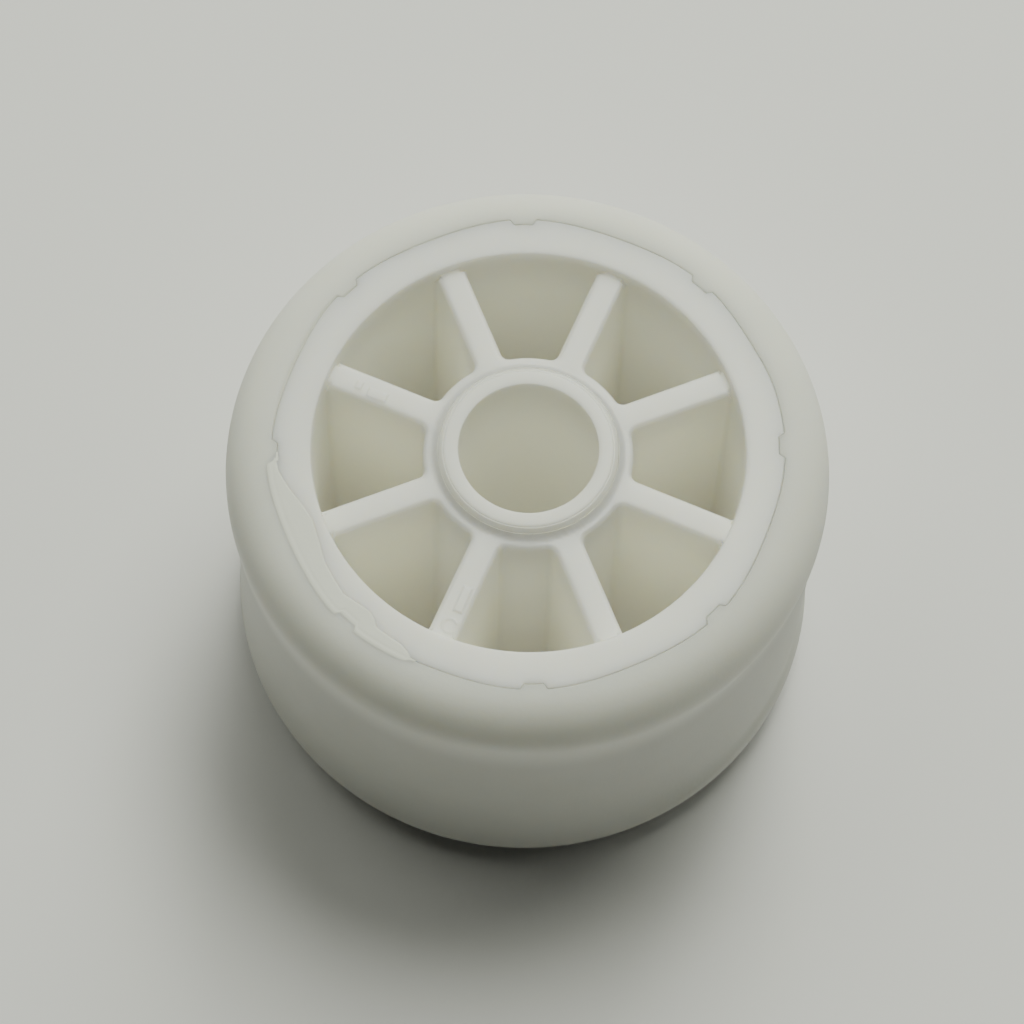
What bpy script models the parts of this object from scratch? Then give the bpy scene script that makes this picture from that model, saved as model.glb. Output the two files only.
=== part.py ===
"""Small roller wheel lying on its side: a spoked plastic core with a soft tread, turning on a plain sleeve.

Metres, +Z up. The wheel's axis is the world Z axis and the sleeve's lower end rests on z = 0.
"""

import math

import bmesh
import bpy

# Driving dimensions, in metres.
WHEEL_WIDTH = 0.0330
TREAD_RADIUS = 0.0260
SEAM_RADIUS = 0.0217
RIM_INNER_RADIUS = 0.01855
HUB_RADIUS = 0.0090
BORE_RADIUS = 0.0060
SLEEVE_RADIUS = 0.0077
SLEEVE_PROUD = 0.0001
SPOKE_COUNT = 8
SPOKE_WIDTH = 0.0025
SPOKE_SETBACK = 0.00075

# Fits, edges and smaller features.
GAP = 0.0003
BORE_EDGE_CHAMFER = 0.0002
SLEEVE_END_CHAMFER = 0.0004
RIM_FLANK_WIDTH = 0.0002
POCKET_LEDGE = 0.0001
SEAM_LAND = 0.0001
POCKET_INNER_FILLET = 0.00075
POCKET_OUTER_FILLET = 0.00040
KEY_DEPTH = 0.00055
KEY_WIDTH = 0.0019
KEY_TURN = math.radians(2)
SHOULDER_OVERHANG_ANGLE = math.radians(10)
WAIST_FILLET = 0.0249
CUT_MARGIN = 0.0020
MERGE_DISTANCE = 1e-6
SHARP_ANGLE = math.radians(30)

# Facets round the full circle and along small arcs.
ROUND_STEPS = 72
SHOULDER_STEPS = 10
WAIST_STEPS = 2
FILLET_STEPS = 3
POCKET_ARC_STEPS = 4

# Derived places.
WHEEL_BOTTOM = SLEEVE_PROUD
WHEEL_TOP = SLEEVE_PROUD + WHEEL_WIDTH
CORE_RADIUS = SEAM_RADIUS - GAP / 2
TREAD_INNER_RADIUS = SEAM_RADIUS + GAP / 2
CORE_BORE_RADIUS = SLEEVE_RADIUS + GAP
SECTOR = 2 * math.pi / SPOKE_COUNT


def clear_scene():
    for obj in list(bpy.data.objects):
        bpy.data.objects.remove(obj, do_unlink=True)


def make_material(name, colour, roughness, metallic=0.0):
    material = bpy.data.materials.new(name)
    material.use_nodes = True
    shader = material.node_tree.nodes["Principled BSDF"]
    shader.inputs["Base Color"].default_value = (*colour, 1.0)
    shader.inputs["Roughness"].default_value = roughness
    shader.inputs["Metallic"].default_value = metallic
    return material


def add_object(name, bm, material=None):
    """Turn a bmesh into a named object with outward faces and smooth round sides."""
    bmesh.ops.recalc_face_normals(bm, faces=bm.faces)
    mesh = bpy.data.meshes.new(name)
    bm.to_mesh(mesh)
    bm.free()
    mesh.shade_smooth()
    mesh.set_sharp_from_angle(angle=SHARP_ANGLE)
    obj = bpy.data.objects.new(name, mesh)
    bpy.context.scene.collection.objects.link(obj)
    if material:
        mesh.materials.append(material)
    return obj


def turned(profile, steps=ROUND_STEPS):
    """Spin a (radius, height) outline round the Z axis. It closes on itself unless it starts on the axis."""
    bm = bmesh.new()
    verts = [bm.verts.new((radius, 0.0, height)) for radius, height in profile]
    first = 1 if profile[0][0] == 0.0 else 0
    edges = [bm.edges.new((verts[i - 1], verts[i])) for i in range(first, len(verts))]
    bmesh.ops.spin(bm, geom=verts + edges, cent=(0, 0, 0), axis=(0, 0, 1), angle=2 * math.pi, steps=steps)
    bmesh.ops.remove_doubles(bm, verts=bm.verts, dist=MERGE_DISTANCE)
    return bm


def prism(outlines, bottom, top):
    """Extrude one or more closed flat outlines from one height to another."""
    bm = bmesh.new()
    for outline in outlines:
        face = bm.faces.new([bm.verts.new((x, y, bottom)) for x, y in outline])
        raised = bmesh.ops.extrude_face_region(bm, geom=[face])["geom"]
        raised_verts = [item for item in raised if isinstance(item, bmesh.types.BMVert)]
        bmesh.ops.translate(bm, verts=raised_verts, vec=(0, 0, top - bottom))
    return bm


def cut(target, name, bm):
    """Subtract a closed shape from an object and keep the cutter as a hidden wire guide."""
    cutter = add_object(name, bm)
    cutter.hide_render = True
    cutter.display_type = "WIRE"
    boolean = target.modifiers.new(name, "BOOLEAN")
    boolean.operation = "DIFFERENCE"
    boolean.object = cutter


def arc(centre, radius, start, end, steps):
    """Points of an arc from one angle to another, both ends included."""
    angles = [start + (end - start) * i / steps for i in range(steps + 1)]
    return [(centre[0] + radius * math.cos(a), centre[1] + radius * math.sin(a)) for a in angles]


def rotated(points, angle):
    c = math.cos(angle)
    s = math.sin(angle)
    return [(x * c - y * s, x * s + y * c) for x, y in points]


def keyed_circle(radius, key_depth, key_width):
    """A circle with a square notch inwards near the middle of each sector between spokes."""
    half_angle = math.asin(key_width / 2 / radius)
    floor_radius = radius - key_depth
    floor_angle = math.asin(key_width / 2 / floor_radius)
    arc_steps = ROUND_STEPS // SPOKE_COUNT
    points = []
    for sector in range(SPOKE_COUNT):
        middle = sector * SECTOR + KEY_TURN
        points += arc((0, 0), floor_radius, middle - floor_angle, middle + floor_angle, 1)
        points += arc((0, 0), radius, middle + half_angle, middle + SECTOR - half_angle, arc_steps)
    return points


def pocket_outline(outer_radius):
    """One pocket between two spokes, symmetric about +X, with rounded corners."""
    half_width = SPOKE_WIDTH / 2
    inner_offset = half_width + POCKET_INNER_FILLET
    inner_reach = math.sqrt((HUB_RADIUS + POCKET_INNER_FILLET) ** 2 - inner_offset ** 2)
    outer_offset = half_width + POCKET_OUTER_FILLET
    outer_reach = math.sqrt((outer_radius - POCKET_OUTER_FILLET) ** 2 - outer_offset ** 2)
    inner_angle = math.atan2(inner_offset, inner_reach) - SECTOR / 2
    outer_angle = math.atan2(outer_offset, outer_reach) - SECTOR / 2
    hub_direction = math.atan2(-inner_offset, -inner_reach)
    rim_direction = math.atan2(outer_offset, outer_reach)
    inner_centre = (inner_reach, inner_offset)
    outer_centre = (outer_reach, outer_offset)
    straight = -math.pi / 2
    corners = arc(inner_centre, POCKET_INNER_FILLET, hub_direction, straight, FILLET_STEPS)
    corners += arc(outer_centre, POCKET_OUTER_FILLET, straight, rim_direction, FILLET_STEPS)
    half = arc((0, 0), HUB_RADIUS, 0, inner_angle, 1)[:-1]
    half += rotated(corners, -SECTOR / 2)
    half += arc((0, 0), outer_radius, outer_angle, 0, POCKET_ARC_STEPS)[1:]
    mirrored = [(x, -y) for x, y in reversed(half[1:-1])]
    return half + mirrored


def face_recess(face_height, depth_sign):
    """A shallow dish that sets hub and spokes back from the rim's side face, as a cutter."""
    foot_radius = RIM_INNER_RADIUS - RIM_FLANK_WIDTH
    foot = face_height - depth_sign * SPOKE_SETBACK
    slope = RIM_FLANK_WIDTH / SPOKE_SETBACK
    outside = face_height + depth_sign * CUT_MARGIN
    outside_radius = RIM_INNER_RADIUS + CUT_MARGIN * slope
    return turned([(0.0, foot), (foot_radius, foot), (outside_radius, outside), (0.0, outside)])


def build_wheel_core(material):
    outline = keyed_circle(CORE_RADIUS, KEY_DEPTH + GAP, KEY_WIDTH + 2 * GAP)
    core = add_object("wheel_core", prism([outline], WHEEL_BOTTOM, WHEEL_TOP), material)
    below = WHEEL_BOTTOM - CUT_MARGIN
    above = WHEEL_TOP + CUT_MARGIN
    bore = [(0.0, below), (CORE_BORE_RADIUS, below), (CORE_BORE_RADIUS, above), (0.0, above)]
    pocket = pocket_outline(RIM_INNER_RADIUS - RIM_FLANK_WIDTH - POCKET_LEDGE)
    pockets = [rotated(pocket, sector * SECTOR) for sector in range(SPOKE_COUNT)]
    cut(core, "cut_lower_recess", face_recess(WHEEL_BOTTOM, -1))
    cut(core, "cut_upper_recess", face_recess(WHEEL_TOP, 1))
    cut(core, "cut_pockets", prism(pockets, below, above))
    cut(core, "cut_sleeve_bore", turned(bore))
    return core


def shoulder_profile():
    """The tread's outer side from its end face, at height 0, round the shoulder and down to the waist."""
    radius = TREAD_RADIUS - TREAD_INNER_RADIUS - SEAM_LAND
    overhang = SHOULDER_OVERHANG_ANGLE
    shoulder = arc((TREAD_RADIUS - radius, radius), radius, -math.pi / 2, overhang, SHOULDER_STEPS)
    end_radius, end_height = shoulder[-1]
    centre_radius = end_radius + WAIST_FILLET * math.cos(overhang)
    waist_centre = (centre_radius, end_height + WAIST_FILLET * math.sin(overhang))
    waist = arc(waist_centre, WAIST_FILLET, math.pi + overhang, math.pi, WAIST_STEPS)
    return shoulder + waist[1:]


def build_tread(material):
    side = shoulder_profile()
    inside = CORE_RADIUS / 2
    lower = [(radius, WHEEL_BOTTOM + height) for radius, height in side]
    upper = [(radius, WHEEL_TOP - height) for radius, height in reversed(side)]
    profile = [(inside, WHEEL_BOTTOM)] + lower + upper + [(inside, WHEEL_TOP)]
    tread = add_object("tread", turned(profile), material)
    socket = keyed_circle(TREAD_INNER_RADIUS, KEY_DEPTH, KEY_WIDTH)
    cut(tread, "cut_core_socket", prism([socket], WHEEL_BOTTOM - CUT_MARGIN, WHEEL_TOP + CUT_MARGIN))
    return tread


def build_axle_sleeve(material):
    bottom = 0.0
    top = WHEEL_WIDTH + 2 * SLEEVE_PROUD
    inner = BORE_EDGE_CHAMFER
    outer = SLEEVE_END_CHAMFER
    profile = [(BORE_RADIUS, bottom + inner), (BORE_RADIUS + inner, bottom),
               (SLEEVE_RADIUS - outer, bottom), (SLEEVE_RADIUS, bottom + outer),
               (SLEEVE_RADIUS, top - outer), (SLEEVE_RADIUS - outer, top),
               (BORE_RADIUS + inner, top), (BORE_RADIUS, top - inner)]
    return add_object("axle_sleeve", turned(profile), material)


def main():
    clear_scene()
    core_plastic = make_material("core_plastic", (0.88, 0.89, 0.79), 0.28)
    tread_rubber = make_material("tread_rubber", (0.82, 0.83, 0.76), 0.60)
    sleeve_plastic = make_material("sleeve_plastic", (0.90, 0.91, 0.82), 0.22)
    build_axle_sleeve(sleeve_plastic)
    build_wheel_core(core_plastic)
    build_tread(tread_rubber)


main()
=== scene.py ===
"""Looks of the roller wheel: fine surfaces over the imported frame, materials, floor, light and camera."""

import math

import bmesh
import bpy
import numpy as np
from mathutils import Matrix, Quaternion, Vector, noise
from mathutils.geometry import delaunay_2d_cdt


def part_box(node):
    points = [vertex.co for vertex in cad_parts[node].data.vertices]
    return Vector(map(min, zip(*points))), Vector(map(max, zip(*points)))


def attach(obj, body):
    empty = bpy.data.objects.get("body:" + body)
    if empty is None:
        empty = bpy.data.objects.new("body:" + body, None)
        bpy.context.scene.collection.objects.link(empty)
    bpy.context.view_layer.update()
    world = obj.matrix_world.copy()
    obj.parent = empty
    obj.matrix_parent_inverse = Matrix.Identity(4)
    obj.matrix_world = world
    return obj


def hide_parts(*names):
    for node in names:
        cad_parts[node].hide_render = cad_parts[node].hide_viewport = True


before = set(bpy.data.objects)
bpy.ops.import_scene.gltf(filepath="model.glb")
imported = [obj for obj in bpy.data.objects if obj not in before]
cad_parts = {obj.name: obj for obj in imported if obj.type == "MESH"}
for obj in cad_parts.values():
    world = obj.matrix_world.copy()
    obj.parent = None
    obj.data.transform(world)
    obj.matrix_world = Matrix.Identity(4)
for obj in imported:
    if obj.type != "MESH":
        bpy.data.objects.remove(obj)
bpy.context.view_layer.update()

MM = 0.001

# Places and sizes read from the frame.
SLEEVE_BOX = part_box("axle_sleeve")
TREAD_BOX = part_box("tread")
SLEEVE_BOTTOM = SLEEVE_BOX[0][2]
SLEEVE_TOP = SLEEVE_BOX[1][2]
SLEEVE_RADIUS = SLEEVE_BOX[1][0]
WHEEL_BOTTOM = TREAD_BOX[0][2]
WHEEL_TOP = TREAD_BOX[1][2]
TREAD_RADIUS = TREAD_BOX[1][0]

# Sizes inside those boxes, as the frame's solids have them.
BORE_RADIUS = 6.0 * MM
CORE_BORE_RADIUS = SLEEVE_RADIUS + 0.03 * MM
BORE_MOUTH_RADIUS = CORE_BORE_RADIUS + 0.04 * MM
BORE_MOUTH_DEPTH = 0.05 * MM
SLEEVE_FACE_RADIUS = 7.30 * MM
SLEEVE_FACE_DROP = 0.38 * MM
HUB_RADIUS = 9.0 * MM
RIM_INNER_RADIUS = 18.55 * MM
WALL_RADIUS = 18.47 * MM
POCKET_RADIUS = 18.42 * MM
SEAM_RADIUS = 21.75 * MM
SPOKE_COUNT = 8
SPOKE_WIDTH = 2.5 * MM
SPOKE_SETBACK = 0.75 * MM
SECTOR = 2 * math.pi / SPOKE_COUNT

# Rounds, drafts and mould marks of the fine surfaces.
POCKET_INNER_FILLET = 0.75 * MM
POCKET_OUTER_FILLET = 0.40 * MM
BORE_EDGE_ROUND = 0.08 * MM
SLEEVE_STRAIGHT_FROM = 1.5 * MM
EDGE_ROUND = 0.38 * MM
RIM_EDGE_ROUND = 0.14 * MM
WALL_BLEND = 0.70 * MM
WALL_DRAFT = math.radians(0.6)
SEAM_GAP = 0.05 * MM
SEAM_DEPTH = 0.35 * MM
SEAM_CLOSED = 0.01 * MM
TREAD_LINING_DEPTH = 1.2 * MM
SEAM_ROUND = 0.10 * MM
KEY_DEPTH = 0.50 * MM
KEY_HALF_ANGLE = math.radians(2.6)
KEY_FLANK_ANGLE = math.radians(0.55)
KEY_TURN = math.radians(2.0)
SEAM_LOBE = 0.17 * MM
FLOW_RIPPLE = 0.016 * MM
BULGE = 0.26 * MM
BULGE_MIDDLE = math.radians(19)
BULGE_SPREAD = math.radians(10)
SEAM_OPENING = 0.30 * MM
OPENING_MIDDLE = math.radians(157)
OPENING_SPREAD = math.radians(17)
COLLAR_WIDTH = 0.44 * MM
COLLAR_HEIGHT = 0.42 * MM
SHOULDER_RADIUS = 4.05 * MM
WAIST_DROP = 0.44 * MM
SOFT_OVERHANG = math.radians(4.7)
CRISP_OVERHANG = math.radians(19)
CRISP_MIDDLE = math.radians(-22)
CRISP_SPREAD = math.radians(36)

# Points along a pocket's outer corner and half its outer side, and round the full circle.
CORNER_STEPS = 8
RIM_ARC_STEPS = 24
ROUND_STEPS = 1440
FOOT_STEPS = 720
HUB_STEPS = 360

# Mesh sizes of the spokes' level: its even grid, and the finer one under the marks.
PLANE_STEP = 0.28 * MM
PLANE_MARGIN = 0.20 * MM
FINE_STEP = 0.07 * MM
FINE_CLEARANCE = 0.15 * MM

# The view.
VIEW_DISTANCE = 334.0 * MM
VIEW_ELEVATION = math.radians(66.0)
VIEW_TURN = math.radians(-1.5)
VIEW_ROLL = math.radians(2.05)
VIEW_TARGET = Vector((-1.16 * MM, -5.95 * MM, WHEEL_TOP))
LENS_MM = 137.7


# ---------------------------------------------------------------- mesh helpers

def smoothstep(x):
    x = np.clip(x, 0.0, 1.0)
    return x * x * (3 - 2 * x)


def wrapped(angle):
    """The same angle between minus and plus half a turn."""
    return (angle + math.pi) % (2 * math.pi) - math.pi


def circle_angles(steps):
    return np.arange(steps) * (2 * math.pi / steps)


def ring(radius, height, steps=ROUND_STEPS):
    """One closed loop of points. Radius and height may each vary with the angle."""
    angles = circle_angles(steps)
    radius = np.broadcast_to(radius, angles.shape)
    height = np.broadcast_to(height, angles.shape)
    return np.stack([radius * np.cos(angles), radius * np.sin(angles), height], axis=-1)


class Builder:
    """Gathers loops and faces of one mesh, then welds them."""

    def __init__(self):
        self.verts = []
        self.faces = []

    def add_points(self, points):
        start = len(self.verts)
        self.verts.extend(tuple(map(float, p)) for p in points)
        return start

    def bridge(self, loops, closed=False):
        """Quads between consecutive loops of equal length."""
        starts = [self.add_points(loop) for loop in loops]
        count = len(loops[0])
        pairs = list(zip(starts[:-1], starts[1:]))
        if closed:
            pairs.append((starts[-1], starts[0]))
        for a, b in pairs:
            for i in range(count):
                j = (i + 1) % count
                self.faces.append((a + i, a + j, b + j, b + i))

    def finish(self, name, material, weld=1e-7, sharp=math.radians(60)):
        mesh = bpy.data.meshes.new(name)
        mesh.from_pydata(self.verts, [], self.faces)
        bm = bmesh.new()
        bm.from_mesh(mesh)
        bmesh.ops.remove_doubles(bm, verts=bm.verts, dist=weld)
        bmesh.ops.recalc_face_normals(bm, faces=bm.faces)
        bm.to_mesh(mesh)
        bm.free()
        mesh.shade_smooth()
        mesh.set_sharp_from_angle(angle=sharp)
        mesh.materials.append(material)
        obj = bpy.data.objects.new(name, mesh)
        bpy.context.scene.collection.objects.link(obj)
        return obj


def arc_points(centre_radius, centre_height, radius, start, end, steps):
    """(radius, height) points of an arc in the section plane."""
    angles = np.linspace(start, end, steps + 1)
    return [(centre_radius + radius * math.cos(a), centre_height + radius * math.sin(a)) for a in angles]


# ---------------------------------------------------------------- the seam between core and tread

def seam_radius(angles):
    """The seam line: nearly a circle, slightly lobed, with a shallow key notch in each sector."""
    lobe = SEAM_LOBE * np.cos(SPOKE_COUNT * (angles - KEY_TURN))
    bulge = BULGE * np.exp(-(wrapped(angles - BULGE_MIDDLE) / BULGE_SPREAD) ** 2)
    from_key = np.abs((angles - KEY_TURN + SECTOR / 2) % SECTOR - SECTOR / 2)
    key = 1 - smoothstep((from_key - KEY_HALF_ANGLE + KEY_FLANK_ANGLE) / (2 * KEY_FLANK_ANGLE))
    return SEAM_RADIUS + lobe + bulge - KEY_DEPTH * key


def seam_opening(angles):
    """How much wider the seam gapes at the top, in the stretch where the tread has pulled back."""
    return SEAM_OPENING * np.exp(-(wrapped(angles - OPENING_MIDDLE) / OPENING_SPREAD) ** 4)


# ---------------------------------------------------------------- tread

def shoulder_depth(radius):
    """How far the tread's surface lies below its side face, out to the widest radius."""
    past_land = np.clip((radius - (TREAD_RADIUS - SHOULDER_RADIUS)) / SHOULDER_RADIUS, 0.0, 1.0)
    return SHOULDER_RADIUS * (1 - np.sqrt(1 - past_land ** 2))


def waist_section(angles):
    """(radius, depth below the side face) from the widest radius round the overhang to the waist.

    The overhang is a crisp crease in one stretch and a long soft hollow elsewhere, with the same waist.
    """
    crisp = np.exp(-np.abs(wrapped(angles - CRISP_MIDDLE) / CRISP_SPREAD) ** 3)
    overhang = SOFT_OVERHANG + (CRISP_OVERHANG - SOFT_OVERHANG) * crisp
    fillet = WAIST_DROP / (1 - np.cos(overhang)) - SHOULDER_RADIUS
    centre = TREAD_RADIUS - SHOULDER_RADIUS
    section = []
    for share in np.linspace(0, 1, 9)[1:]:
        turn = overhang * share
        section.append((centre + SHOULDER_RADIUS * np.cos(turn), SHOULDER_RADIUS * (1 + np.sin(turn))))
    end_radius, end_depth = section[-1]
    for share in np.linspace(0, 1, 11)[1:]:
        turn = overhang * (1 - share)
        section.append((end_radius + fillet * (np.cos(overhang) - np.cos(turn)),
                        end_depth + fillet * (np.sin(overhang) - np.sin(turn))))
    return section


def flow_ripple(angles, travel, seed):
    """Faint waves drawn out along the circumference, as the tread's material left them."""
    values = [noise.noise(Vector((2.2 * math.cos(a), 2.2 * math.sin(a), travel / (0.9 * MM) + seed)))
              for a in angles[::4]]
    return np.interp(angles, angles[::4], values, period=2 * math.pi)


def tread_half(face, inward, opening, seed):
    """Loops from deep in the seam, over the edge and round the shoulder to the waist, for one side face."""
    angles = circle_angles(ROUND_STEPS)
    seam = seam_radius(angles) + SEAM_GAP / 2
    edge = SEAM_ROUND + opening
    closed = seam_radius(angles) + SEAM_CLOSED / 2
    loops = [ring(closed, face + inward * TREAD_LINING_DEPTH)]
    loops.append(ring(closed, face + inward * (SEAM_DEPTH + opening)))
    for turn in np.linspace(0, math.pi / 2, 7):
        loops.append(ring(seam + edge * (1 - math.cos(turn)), face + inward * edge * (1 - math.sin(turn))))
    edge_radius = seam + edge
    for share in np.linspace(0, 1, 34)[1:]:
        radius = edge_radius + (TREAD_RADIUS - edge_radius) * math.sin(share * math.pi / 2)
        ripple = FLOW_RIPPLE * math.sin(share * math.pi) * flow_ripple(angles, share * 6.3 * MM, seed)
        loops.append(ring(radius, face + inward * (shoulder_depth(radius) - ripple)))
    for radius, depth in waist_section(angles):
        loops.append(ring(radius, face + inward * depth))
    return loops


def build_tread(material):
    angles = circle_angles(ROUND_STEPS)
    upper = tread_half(WHEEL_TOP, -1, seam_opening(angles), 3.0)
    lower = tread_half(WHEEL_BOTTOM, 1, np.zeros_like(angles), 11.0)
    builder = Builder()
    builder.bridge(upper + lower[::-1], closed=True)
    return builder.finish("tread_skin", material)


# A thin film of tread material that crept over the rim's upper face: (degrees, how far in it reaches).
FILM_EDGE = ((-178, 21.6), (-173, 21.35), (-168, 20.6), (-164, 19.95), (-159, 19.45), (-152.5, 19.7),
             (-147.5, 20.15), (-143.5, 20.3), (-138, 20.55), (-136, 20.35), (-131, 20.05), (-128.5, 20.3),
             (-127, 20.8), (-120, 20.85), (-117.5, 21.2), (-115, 21.6))
FILM_HEIGHT = 0.045 * MM
FILM_OVERLAP = 0.5 * MM


def build_film(material):
    """The film as a thin closed strip with a small step at its inner edge and a dip over the hidden seam."""
    knots = np.array(FILM_EDGE)
    angles = np.radians(np.linspace(knots[0, 0], knots[-1, 0], 420))
    reach = np.interp(np.degrees(angles), knots[:, 0], knots[:, 1]) * MM
    kernel = np.hanning(11) / np.hanning(11).sum()
    reach = np.convolve(np.pad(reach, 5, mode="edge"), kernel, mode="valid")
    seam = seam_radius(angles)
    from_end = np.minimum(angles - angles[0], angles[-1] - angles)
    taper = smoothstep(from_end / math.radians(5))
    width = np.maximum(seam - reach, 0.05 * MM)
    section = []
    for step, height in ((0.0, -0.05), (0.0, 0.0), (0.03, 0.55), (0.09, 0.95), (0.2, 1.0)):
        section.append((reach + step * MM, height * FILM_HEIGHT))
    for share in (0.35, 0.6, 0.8):
        section.append((reach + 0.2 * MM + share * (width - 0.35 * MM), FILM_HEIGHT))
    for step, height in ((-0.12, 0.9), (0.0, 0.35), (0.12, 0.9)):
        section.append((seam + step * MM, height * FILM_HEIGHT))
    section.append((seam + 0.3 * MM, FILM_HEIGHT * 0.6))
    section.append((seam + FILM_OVERLAP, -0.4 * FILM_HEIGHT))
    section.append((seam + FILM_OVERLAP, -2.0 * FILM_HEIGHT))
    section.append((reach, -2.0 * FILM_HEIGHT))
    builder = Builder()
    rows = []
    for radius, height in section:
        lifted = np.where(height > 0, height * taper - 0.3 * FILM_HEIGHT * (1 - taper), height)
        level = WHEEL_TOP + lifted - shoulder_depth(radius)
        rows.append(np.stack([radius * np.cos(angles), radius * np.sin(angles), level], axis=-1))
    starts = [builder.add_points(row) for row in rows]
    count = len(angles)
    for a, b in zip(starts, starts[1:] + starts[:1]):
        for i in range(count - 1):
            builder.faces.append((a + i, a + i + 1, b + i + 1, b + i))
    builder.faces.append(tuple(starts))
    builder.faces.append(tuple(start + count - 1 for start in reversed(starts)))
    return builder.finish("tread_film", material, weld=1e-9)


# ---------------------------------------------------------------- core

def rounded_pocket(offset):
    """Outline of the pocket about +X, with hub and spoke sides moved by offset into the material.

    Its outer side stays on the rim's wall. The point count never changes.
    """
    half_width = SPOKE_WIDTH / 2
    inner_offset = half_width + POCKET_INNER_FILLET
    inner_reach = math.sqrt((HUB_RADIUS + POCKET_INNER_FILLET) ** 2 - inner_offset ** 2)
    outer_offset = half_width - offset + POCKET_OUTER_FILLET
    outer_reach = math.sqrt((POCKET_RADIUS - POCKET_OUTER_FILLET) ** 2 - outer_offset ** 2)
    inner_angle = SECTOR / 2 - math.atan2(inner_offset, inner_reach)
    outer_angle = SECTOR / 2 - math.atan2(outer_offset, outer_reach)
    hub_direction = math.atan2(-inner_offset, -inner_reach)
    rim_direction = math.atan2(outer_offset, outer_reach)

    def on_arc(cx, cy, radius, start, end, steps):
        turn = np.linspace(start, end, steps + 1)
        return np.stack([cx + radius * np.cos(turn), cy + radius * np.sin(turn)], axis=-1)

    straight = -math.pi / 2
    inner = on_arc(inner_reach, inner_offset, POCKET_INNER_FILLET + offset, hub_direction, straight, 10)
    outer = on_arc(outer_reach, outer_offset, POCKET_OUTER_FILLET, straight, rim_direction, CORNER_STEPS)
    side = np.linspace(inner[-1], outer[0], 26)[1:-1]
    corner = np.concatenate([inner, side, outer])
    c, s = math.cos(-SECTOR / 2), math.sin(-SECTOR / 2)
    corner = corner @ np.array([[c, s], [-s, c]])
    hub_arc = on_arc(0, 0, HUB_RADIUS - offset, 0, -inner_angle, 8)[:-1]
    rim_arc = on_arc(0, 0, POCKET_RADIUS, -outer_angle, 0, RIM_ARC_STEPS)[1:]
    half = np.concatenate([hub_arc, corner, rim_arc])
    mirrored = half[1:-1][::-1] * np.array([1, -1])
    return np.concatenate([half, mirrored])


def wall_blend():
    """How far each outline point drops at the pocket's mouth, which is only along the rim's wall."""
    outline = rounded_pocket(EDGE_ROUND)
    half = len(outline) // 2 + 1
    drop = np.zeros(half)
    corner = half - RIM_ARC_STEPS - CORNER_STEPS - 1
    drop[corner:half - RIM_ARC_STEPS] = smoothstep(np.linspace(0, 1, CORNER_STEPS + 1))
    drop[half - RIM_ARC_STEPS:] = 1.0
    return WALL_BLEND * np.concatenate([drop, drop[1:-1][::-1]])


def turned_about_axis(points, angle):
    c, s = math.cos(angle), math.sin(angle)
    return points @ np.array([[c, s], [-s, c]])


def surface_ripple(x, y):
    """Faint unevenness of the moulded surface, in metres."""
    big = noise.noise(Vector((x / (3.2 * MM), y / (3.2 * MM), 3.1)))
    small = noise.noise(Vector((x / (1.1 * MM), y / (1.1 * MM), 7.7)))
    return 0.022 * MM * big + 0.006 * MM * small


def inside_polygon(points, polygon):
    """Which of the points lie inside the polygon."""
    x, y = points[:, :1], points[:, 1:]
    xs, ys = polygon[:, 0], polygon[:, 1]
    xn, yn = np.roll(xs, -1), np.roll(ys, -1)
    rise = np.where(yn == ys, 1.0, yn - ys)
    crossing = ((ys > y) != (yn > y)) & (x < xs + (y - ys) * (xn - xs) / rise)
    return np.count_nonzero(crossing, axis=1) % 2 == 1


def inside_pockets(points, offset):
    held = np.zeros(len(points), dtype=bool)
    for k in range(SPOKE_COUNT):
        held |= inside_polygon(points, turned_about_axis(rounded_pocket(offset), k * SECTOR))
    return held


# Small moulding marks on the upper spokes: (degrees, radius, half length, half width, height) in millimetres.
SPOKE_MARKS = ((158.9, 14.0, 0.95, 0.50, 0.12), (157.8, 15.8, 0.35, 0.45, 0.10),
               (-111.2, 14.7, 1.30, 0.46, 0.15))
# The ring left by an ejector pin: (degrees, radius, ring radius, height).
PIN_MARK = (-111.6, 17.3, 0.62, 0.10)


def mark_height(x, y):
    """Raised pads and the ring of an ejector pin, as height above the spokes."""
    height = 0.0
    for degrees, radius, half_length, half_width, rise in SPOKE_MARKS:
        angle = math.radians(degrees)
        along = (x * math.cos(angle) + y * math.sin(angle)) / MM - radius
        across = (y * math.cos(angle) - x * math.sin(angle)) / MM
        edge = max(abs(along) - half_length, abs(across) - half_width)
        height += rise * MM * float(smoothstep(-edge / 0.16))
    degrees, radius, ring_radius, rise = PIN_MARK
    angle = math.radians(degrees)
    distance = math.hypot(x / MM - radius * math.cos(angle), y / MM - radius * math.sin(angle))
    return height + rise * MM * math.exp(-((distance - ring_radius) / 0.10) ** 2)


def mark_points():
    """Extra mesh points, fine enough to carry the marks."""
    places = [(mark[0], mark[1]) for mark in SPOKE_MARKS] + [(PIN_MARK[0], PIN_MARK[1])]
    steps = np.arange(-22, 23) * FINE_STEP
    points = []
    for degrees, radius in places:
        angle = math.radians(degrees)
        centre = np.array([math.cos(angle), math.sin(angle)]) * radius * MM
        along = np.array([math.cos(angle), math.sin(angle)])
        across = np.array([-along[1], along[0]])
        points += [centre + along * u + across * v for u in steps for v in steps]
    return np.array(points)


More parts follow.
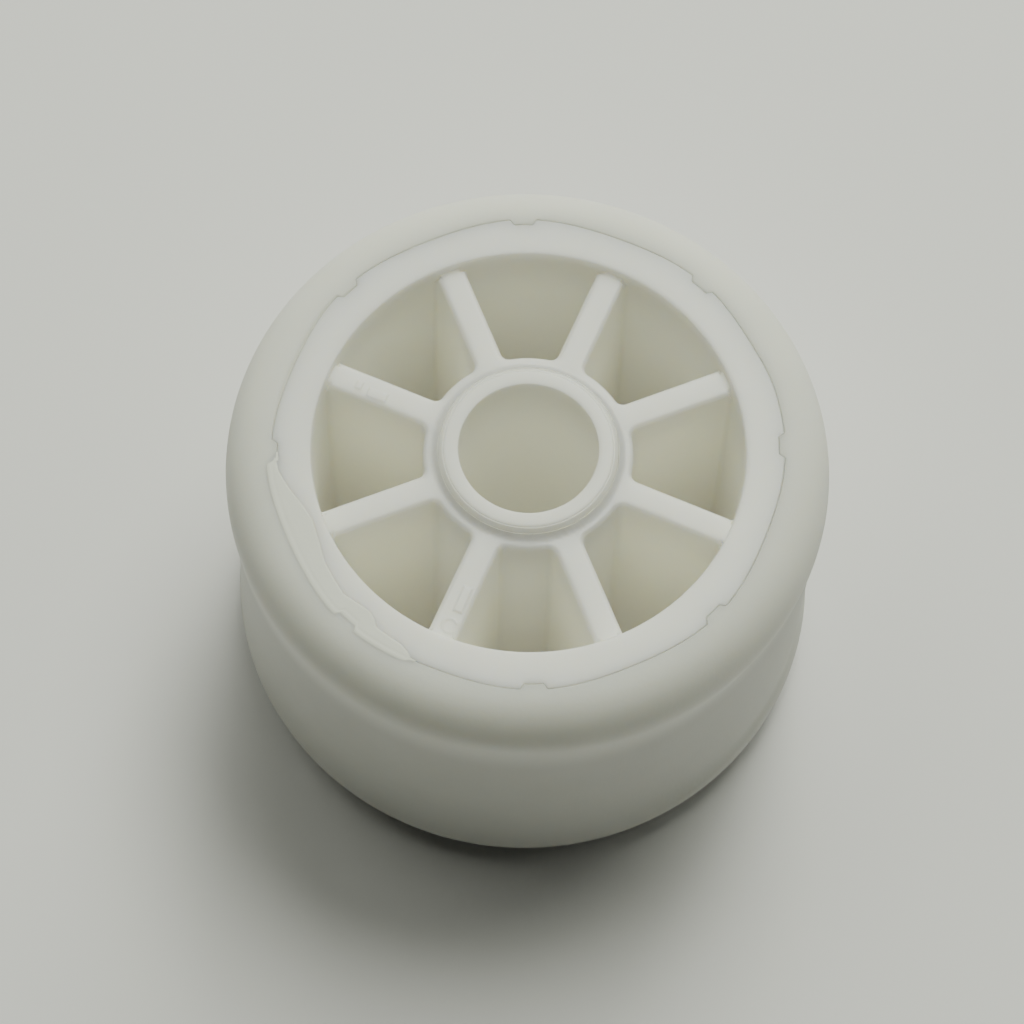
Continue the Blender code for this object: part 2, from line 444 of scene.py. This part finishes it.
def spoke_plane(builder, level, side):
    """The flat level of hub and spokes, with its holes, meshed finely enough to carry ripple and marks."""
    foot = ring(WALL_RADIUS, 0.0, FOOT_STEPS)[:, :2]
    mouth = ring(BORE_MOUTH_RADIUS, 0.0, HUB_STEPS)[:, :2]
    pockets = [turned_about_axis(rounded_pocket(EDGE_ROUND), k * SECTOR) for k in range(SPOKE_COUNT)]
    loops = [foot, mouth] + pockets
    edges = []
    start = 0
    for loop in loops:
        edges += [(start + i, start + (i + 1) % len(loop)) for i in range(len(loop))]
        start += len(loop)
    boundary_count = start
    reach = np.arange(-WALL_RADIUS, WALL_RADIUS, PLANE_STEP)
    grid = np.array([(x, y) for x in reach for y in reach])
    margin = PLANE_MARGIN
    if side > 0:
        fine = mark_points()
        near = np.array([np.min(np.hypot(*(fine - point).T)) for point in grid]) < FINE_CLEARANCE
        grid = grid[~near]
        grid = np.concatenate([grid, fine])
        margin = FINE_STEP
    radius = np.hypot(grid[:, 0], grid[:, 1])
    grid = grid[(radius > BORE_MOUTH_RADIUS + margin) & (radius < WALL_RADIUS - margin)]
    grid = grid[~inside_pockets(grid, EDGE_ROUND + margin)]
    every = np.concatenate(loops + [grid])
    flat, _, faces, _, _, _ = delaunay_2d_cdt([Vector(p) for p in every], edges, [], 0, 1e-9)
    drops = np.concatenate([np.zeros(len(foot) + len(mouth))] + [wall_blend()] * SPOKE_COUNT)
    heights = []
    for i, place in enumerate(flat):
        distance = math.hypot(place.x, place.y)
        height = COLLAR_HEIGHT * (1 - float(smoothstep((distance - BORE_MOUTH_RADIUS) / COLLAR_WIDTH)))
        if i < boundary_count:
            height -= drops[i]
        else:
            height += surface_ripple(place.x, place.y)
            if side > 0:
                height += mark_height(place.x, place.y)
        heights.append(level + side * height)
    base = builder.add_points([(p.x, p.y, h) for p, h in zip(flat, heights)])
    centres = np.array([np.mean([(flat[i].x, flat[i].y) for i in face], axis=0) for face in faces])
    distance = np.hypot(centres[:, 0], centres[:, 1])
    keep = (distance > BORE_MOUTH_RADIUS) & (distance < WALL_RADIUS) & ~inside_pockets(centres, EDGE_ROUND)
    for face, kept in zip(faces, keep):
        if kept:
            builder.faces.append(tuple(base + i for i in face))


def pocket_walls(builder, top_level, bottom_level):
    """The eight pockets: a rounded edge at each face and drafted walls that are narrowest half way."""
    steps = 6
    half_depth = (top_level - bottom_level) / 2 - EDGE_ROUND
    sections = []
    for i in range(steps + 1):
        turn = math.pi / 2 * i / steps
        sections.append((EDGE_ROUND * (1 - math.sin(turn)), EDGE_ROUND * (1 - math.cos(turn))))
    for share in (0.06, 0.12, 0.25, 0.5, 0.75, 1.0):
        depth = half_depth * share
        sections.append((-depth * math.tan(WALL_DRAFT), EDGE_ROUND + depth))
    upper = [(offset, top_level - depth) for offset, depth in sections]
    lower = [(offset, bottom_level + depth) for offset, depth in sections[:-1]]
    drop = wall_blend()
    for k in range(SPOKE_COUNT):
        loops = []
        for offset, height in upper + lower[::-1]:
            outline = turned_about_axis(rounded_pocket(offset), k * SECTOR)
            from_face = min(top_level - height, height - bottom_level)
            sunk = drop * max(0.0, 1 - from_face / (2 * WALL_BLEND))
            levels = height - sunk if height > (top_level + bottom_level) / 2 else height + sunk
            loops.append(np.column_stack([outline, levels]))
        builder.bridge(loops)


def rim_half(face, inward):
    """Loops from deep in the seam, over the rim's face and down its inner wall towards the spokes' level."""
    seam = seam_radius(circle_angles(ROUND_STEPS)) - SEAM_GAP / 2
    closed = seam_radius(circle_angles(ROUND_STEPS)) - SEAM_CLOSED / 2
    loops = [ring(closed, face + inward * SEAM_DEPTH)]
    for turn in np.linspace(0, math.pi / 2, 6):
        radius = seam - SEAM_ROUND * (1 - math.cos(turn))
        loops.append(ring(radius, face + inward * SEAM_ROUND * (1 - math.sin(turn))))
    start = RIM_INNER_RADIUS + RIM_EDGE_ROUND
    for share in (0.15, 0.4, 0.65, 0.9):
        loops.append(ring((seam - SEAM_ROUND) + share * (start - seam + SEAM_ROUND), face))
    for turn in np.linspace(0, math.pi / 2, 7):
        radius = start - RIM_EDGE_ROUND * math.sin(turn)
        depth = RIM_EDGE_ROUND * (1 - math.cos(turn))
        loops.append(ring(radius, face + inward * depth))
    loops.append(ring((RIM_INNER_RADIUS + WALL_RADIUS) / 2, face + inward * SPOKE_SETBACK * 0.6))
    return loops


def build_core(material):
    builder = Builder()
    top_level = WHEEL_TOP - SPOKE_SETBACK
    bottom_level = WHEEL_BOTTOM + SPOKE_SETBACK
    spoke_plane(builder, top_level, 1)
    spoke_plane(builder, bottom_level, -1)
    pocket_walls(builder, top_level, bottom_level)
    upper = rim_half(WHEEL_TOP, -1)
    lower = rim_half(WHEEL_BOTTOM, 1)
    builder.bridge(upper[::-1] + lower)
    for loops, level in ((upper, top_level), (lower, bottom_level)):
        fine_edge = builder.add_points(loops[-1])
        foot = builder.add_points(ring(WALL_RADIUS, level, FOOT_STEPS))
        for i in range(FOOT_STEPS):
            a, b, c = 2 * i, 2 * i + 1, (2 * i + 2) % ROUND_STEPS
            j = (i + 1) % FOOT_STEPS
            builder.faces.append((fine_edge + a, fine_edge + b, foot + i))
            builder.faces.append((fine_edge + b, fine_edge + c, foot + j))
            builder.faces.append((fine_edge + b, foot + j, foot + i))
    collar_top = top_level + COLLAR_HEIGHT
    collar_bottom = bottom_level - COLLAR_HEIGHT
    bore = [ring(BORE_MOUTH_RADIUS, collar_top, HUB_STEPS),
            ring(CORE_BORE_RADIUS, collar_top - BORE_MOUTH_DEPTH, HUB_STEPS),
            ring(CORE_BORE_RADIUS, collar_bottom + BORE_MOUTH_DEPTH, HUB_STEPS),
            ring(BORE_MOUTH_RADIUS, collar_bottom, HUB_STEPS)]
    builder.bridge(bore)
    return builder.finish("core_skin", material, sharp=math.radians(50))


# ---------------------------------------------------------------- sleeve

def sleeve_section():
    """(radius, height) of the sleeve's closed section: a flat ring at each end, a fine groove and a slope."""
    edge = BORE_EDGE_ROUND
    face = SLEEVE_FACE_RADIUS
    half = [(BORE_RADIUS, SLEEVE_STRAIGHT_FROM)]
    half += arc_points(BORE_RADIUS + edge, edge, edge, math.pi, 1.5 * math.pi, 5)
    half += [(BORE_RADIUS + 0.4 * MM, 0.0), (face - 0.30 * MM, 0.0), (face - 0.16 * MM, 0.012 * MM),
             (face - 0.07 * MM, 0.04 * MM), (face - 0.03 * MM, 0.07 * MM), (face, 0.13 * MM),
             (face + 0.03 * MM, 0.09 * MM), (face + 0.10 * MM, 0.10 * MM),
             (SLEEVE_RADIUS - 0.06 * MM, SLEEVE_FACE_DROP), (SLEEVE_RADIUS, SLEEVE_FACE_DROP + 0.06 * MM),
             (SLEEVE_RADIUS, SLEEVE_STRAIGHT_FROM)]
    lower = [(radius, SLEEVE_BOTTOM + height) for radius, height in half]
    upper = [(radius, SLEEVE_TOP - height) for radius, height in reversed(half)]
    return lower + upper


def build_sleeve(material):
    builder = Builder()
    builder.bridge([ring(radius, height, HUB_STEPS) for radius, height in sleeve_section()], closed=True)
    return builder.finish("sleeve_skin", material, sharp=math.radians(35))


# ---------------------------------------------------------------- materials

# Painted light: a faint glow from the plastic itself, though it is no lamp, standing for light scattered
# through the translucent plastic from all sides.
PAINTED_GLOW = 0.022
PAINTED_GLOW_COLOUR = (1.0, 0.90, 0.86, 1.0)
BUMP_DISTANCE = 0.1 * MM

# The tread's colour is made darker down its side, to come nearer the photo: this darkening is painted shade,
# not a colour of the rubber. The change starts and is full at these depths below the upper face.
PAINTED_SIDE_SHADE = 0.80
PAINTED_SIDE_SHADE_FROM = 4.5 * MM
PAINTED_SIDE_SHADE_FULL = 10.0 * MM

class Nodes:
    """Short calls for wiring a material."""

    def __init__(self, name):
        self.material = bpy.data.materials.new(name)
        self.material.use_nodes = True
        self.tree = self.material.node_tree
        self.shader = self.tree.nodes["Principled BSDF"]

    def add(self, kind, **values):
        node = self.tree.nodes.new(kind)
        for key, value in values.items():
            setattr(node, key, value)
        return node

    def link(self, source, target):
        self.tree.links.new(source, target)

    def position(self):
        return self.add("ShaderNodeTexCoord").outputs["Object"]

    def noise(self, scale, detail=3.0, roughness=0.5):
        node = self.add("ShaderNodeTexNoise")
        node.inputs["Scale"].default_value = scale
        node.inputs["Detail"].default_value = detail
        node.inputs["Roughness"].default_value = roughness
        self.link(self.position(), node.inputs["Vector"])
        return node.outputs["Fac"]

    def ramp(self, value, stops):
        node = self.add("ShaderNodeValToRGB")
        elements = node.color_ramp.elements
        while len(elements) < len(stops):
            elements.new(0.5)
        for element, (place, colour) in zip(elements, stops):
            element.position = place
            element.color = (*colour, 1.0)
        self.link(value, node.inputs["Fac"])
        return node.outputs["Color"]

    def span(self, value, low, high):
        node = self.add("ShaderNodeMapRange")
        node.inputs["To Min"].default_value = low
        node.inputs["To Max"].default_value = high
        self.link(value, node.inputs["Value"])
        return node.outputs["Result"]

    def bump(self, height, strength):
        node = self.add("ShaderNodeBump")
        node.inputs["Strength"].default_value = strength
        node.inputs["Distance"].default_value = BUMP_DISTANCE
        self.link(height, node.inputs["Height"])
        return node.outputs["Normal"]


def scattering(nodes, weight, radius, scale):
    """Light that enters a soft or translucent piece and leaves it nearby."""
    nodes.shader.inputs["Subsurface Weight"].default_value = weight
    nodes.shader.inputs["Subsurface Radius"].default_value = radius
    nodes.shader.inputs["Subsurface Scale"].default_value = scale


def painted_glow(nodes):
    # Painted light: the plastic glows faintly, though it is no lamp.
    nodes.shader.inputs["Emission Color"].default_value = PAINTED_GLOW_COLOUR
    nodes.shader.inputs["Emission Strength"].default_value = PAINTED_GLOW


def core_plastic():
    nodes = Nodes("core_plastic_natural")
    cloud = nodes.noise(180.0, 4.0, 0.55)
    colour = nodes.ramp(cloud, [(0.3, (0.945, 0.948, 0.875)), (0.7, (0.965, 0.968, 0.90))])
    nodes.link(colour, nodes.shader.inputs["Base Color"])
    nodes.link(nodes.span(nodes.noise(900.0), 0.32, 0.42), nodes.shader.inputs["Roughness"])
    nodes.link(nodes.bump(nodes.noise(1500.0, 4.0), 0.12), nodes.shader.inputs["Normal"])
    nodes.shader.inputs["IOR"].default_value = 1.5
    scattering(nodes, 1.0, (1.0, 0.92, 0.72), 3.0 * MM)
    painted_glow(nodes)
    return nodes.material


def tread_rubber(name="tread_rubber_white", scatter=0.8, base=(0.84, 0.845, 0.79)):
    nodes = Nodes(name)
    cloud = nodes.noise(120.0, 5.0, 0.6)
    unshaded_colour = nodes.ramp(cloud, [(0.3, base), (0.7, [channel + 0.03 for channel in base])])
    # Painted shade: the tread's colour is scaled darker with depth below its upper face.
    height = nodes.add("ShaderNodeSeparateXYZ")
    nodes.link(nodes.position(), height.inputs["Vector"])
    lower = nodes.add("ShaderNodeMapRange")
    lower.interpolation_type = "SMOOTHSTEP"
    lower.inputs["From Min"].default_value = WHEEL_TOP - PAINTED_SIDE_SHADE_FROM
    lower.inputs["From Max"].default_value = WHEEL_TOP - PAINTED_SIDE_SHADE_FULL
    lower.inputs["To Min"].default_value = 1.0
    lower.inputs["To Max"].default_value = PAINTED_SIDE_SHADE
    nodes.link(height.outputs["Z"], lower.inputs["Value"])
    shaded = nodes.add("ShaderNodeVectorMath", operation="SCALE")
    nodes.link(unshaded_colour, shaded.inputs["Vector"])
    nodes.link(lower.outputs["Result"], shaded.inputs["Scale"])
    nodes.link(shaded.outputs["Vector"], nodes.shader.inputs["Base Color"])
    nodes.link(nodes.span(nodes.noise(700.0), 0.48, 0.62), nodes.shader.inputs["Roughness"])
    nodes.link(nodes.bump(nodes.noise(2500.0, 4.0), 0.15), nodes.shader.inputs["Normal"])
    nodes.shader.inputs["Specular IOR Level"].default_value = 0.25
    nodes.shader.inputs["IOR"].default_value = 1.42
    scattering(nodes, scatter, (1.0, 0.92, 0.78), 2.5 * MM)
    return nodes.material


def film_rubber():
    """The thin film: the same rubber, too thin for light to spread inside it."""
    return tread_rubber("tread_rubber_film", 0.0, (0.875, 0.89, 0.83))


def sleeve_plastic():
    nodes = Nodes("sleeve_plastic_white")
    colour = nodes.ramp(nodes.noise(220.0), [(0.3, (0.95, 0.953, 0.88)), (0.7, (0.97, 0.973, 0.905))])
    nodes.link(colour, nodes.shader.inputs["Base Color"])
    nodes.link(nodes.span(nodes.noise(1100.0), 0.36, 0.46), nodes.shader.inputs["Roughness"])
    nodes.link(nodes.bump(nodes.noise(1600.0), 0.05), nodes.shader.inputs["Normal"])
    scattering(nodes, 0.8, (1.0, 0.92, 0.74), 2.0 * MM)
    painted_glow(nodes)
    return nodes.material


def floor_paint():
    nodes = Nodes("floor_pale")
    colour = nodes.ramp(nodes.noise(9.0), [(0.35, (0.925, 0.92, 0.955)), (0.65, (0.945, 0.94, 0.97))])
    nodes.link(colour, nodes.shader.inputs["Base Color"])
    nodes.shader.inputs["Roughness"].default_value = 0.75
    nodes.shader.inputs["Specular IOR Level"].default_value = 0.25
    return nodes.material


# ---------------------------------------------------------------- stage

FLOOR_HALF = 1.2
FLOOR_CLEARANCE = 0.02 * MM


def build_floor():
    level = SLEEVE_BOTTOM - FLOOR_CLEARANCE
    corners = [(-FLOOR_HALF, -FLOOR_HALF, level), (FLOOR_HALF, -FLOOR_HALF, level),
               (FLOOR_HALF, FLOOR_HALF, level), (-FLOOR_HALF, FLOOR_HALF, level)]
    mesh = bpy.data.meshes.new("floor")
    mesh.from_pydata(corners, [], [(0, 1, 2, 3)])
    mesh.materials.append(floor_paint())
    floor = bpy.data.objects.new("floor", mesh)
    bpy.context.scene.collection.objects.link(floor)


# Soft lights: (name, azimuth, elevation, disc size, watts).
LIGHTS = (("window_low", 75, 40, 0.45, 3.8), ("window_high", 55, 64, 0.45, 3.05),
          ("window_top", 75, 64, 0.45, 2.4),
          ("window_left", 95, 40, 0.45, 1.0), ("window_wide", 95, 40, 0.95, 0.4),
          ("side_fill", 145, 55, 0.60, 1.5),
          ("right_fill", 10, 60, 0.60, 0.6))
LIGHT_COLOUR = (1.0, 1.035, 0.875)
LIGHT_DISTANCE = 1.0
ROOM_STRENGTH = 0.002


def add_area_light(name, azimuth, elevation, size, power):
    light = bpy.data.lights.new(name, "AREA")
    light.shape = "DISK"
    light.size = size
    light.energy = power
    light.color = LIGHT_COLOUR
    direction = Vector((math.cos(azimuth) * math.cos(elevation), math.sin(azimuth) * math.cos(elevation),
                        math.sin(elevation)))
    obj = bpy.data.objects.new(name, light)
    obj.location = direction * LIGHT_DISTANCE
    obj.rotation_euler = direction.to_track_quat("Z", "Y").to_euler()
    bpy.context.scene.collection.objects.link(obj)


def build_light():
    for name, azimuth, elevation, size, power in LIGHTS:
        add_area_light(name, math.radians(azimuth), math.radians(elevation), size, power)
    world = bpy.data.worlds.new("room")
    world.use_nodes = True
    background = world.node_tree.nodes["Background"]
    background.inputs["Color"].default_value = (1.0, 1.0, 1.0, 1.0)
    background.inputs["Strength"].default_value = ROOM_STRENGTH
    bpy.context.scene.world = world
    bpy.context.scene.view_settings.view_transform = "AgX"
    bpy.context.scene.cycles.diffuse_bounces = 12


def build_camera():
    data = bpy.data.cameras.new("photo_view")
    data.lens = LENS_MM
    data.sensor_width = 36.0
    data.clip_start = 0.01
    camera = bpy.data.objects.new("photo_view", data)
    turn = Quaternion((0, 0, 1), VIEW_TURN)
    back = Vector((0, -math.cos(VIEW_ELEVATION), math.sin(VIEW_ELEVATION)))
    place = turn @ (back * VIEW_DISTANCE) + Vector((0, 0, WHEEL_TOP))
    look = turn @ VIEW_TARGET - place
    camera.location = place
    camera.rotation_mode = "QUATERNION"
    camera.rotation_quaternion = look.to_track_quat("-Z", "Y") @ Quaternion((0, 0, 1), VIEW_ROLL)
    bpy.context.scene.collection.objects.link(camera)
    bpy.context.scene.camera = camera


# ---------------------------------------------------------------- put together

def dress(piece, body, node):
    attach(piece, body)
    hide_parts(node)


build_camera()
build_floor()
build_light()
dress(build_sleeve(sleeve_plastic()), "sleeve", "axle_sleeve")
dress(build_core(core_plastic()), "wheel", "wheel_core")
dress(build_tread(tread_rubber()), "wheel", "tread")
dress(build_film(film_rubber()), "wheel", "tread")
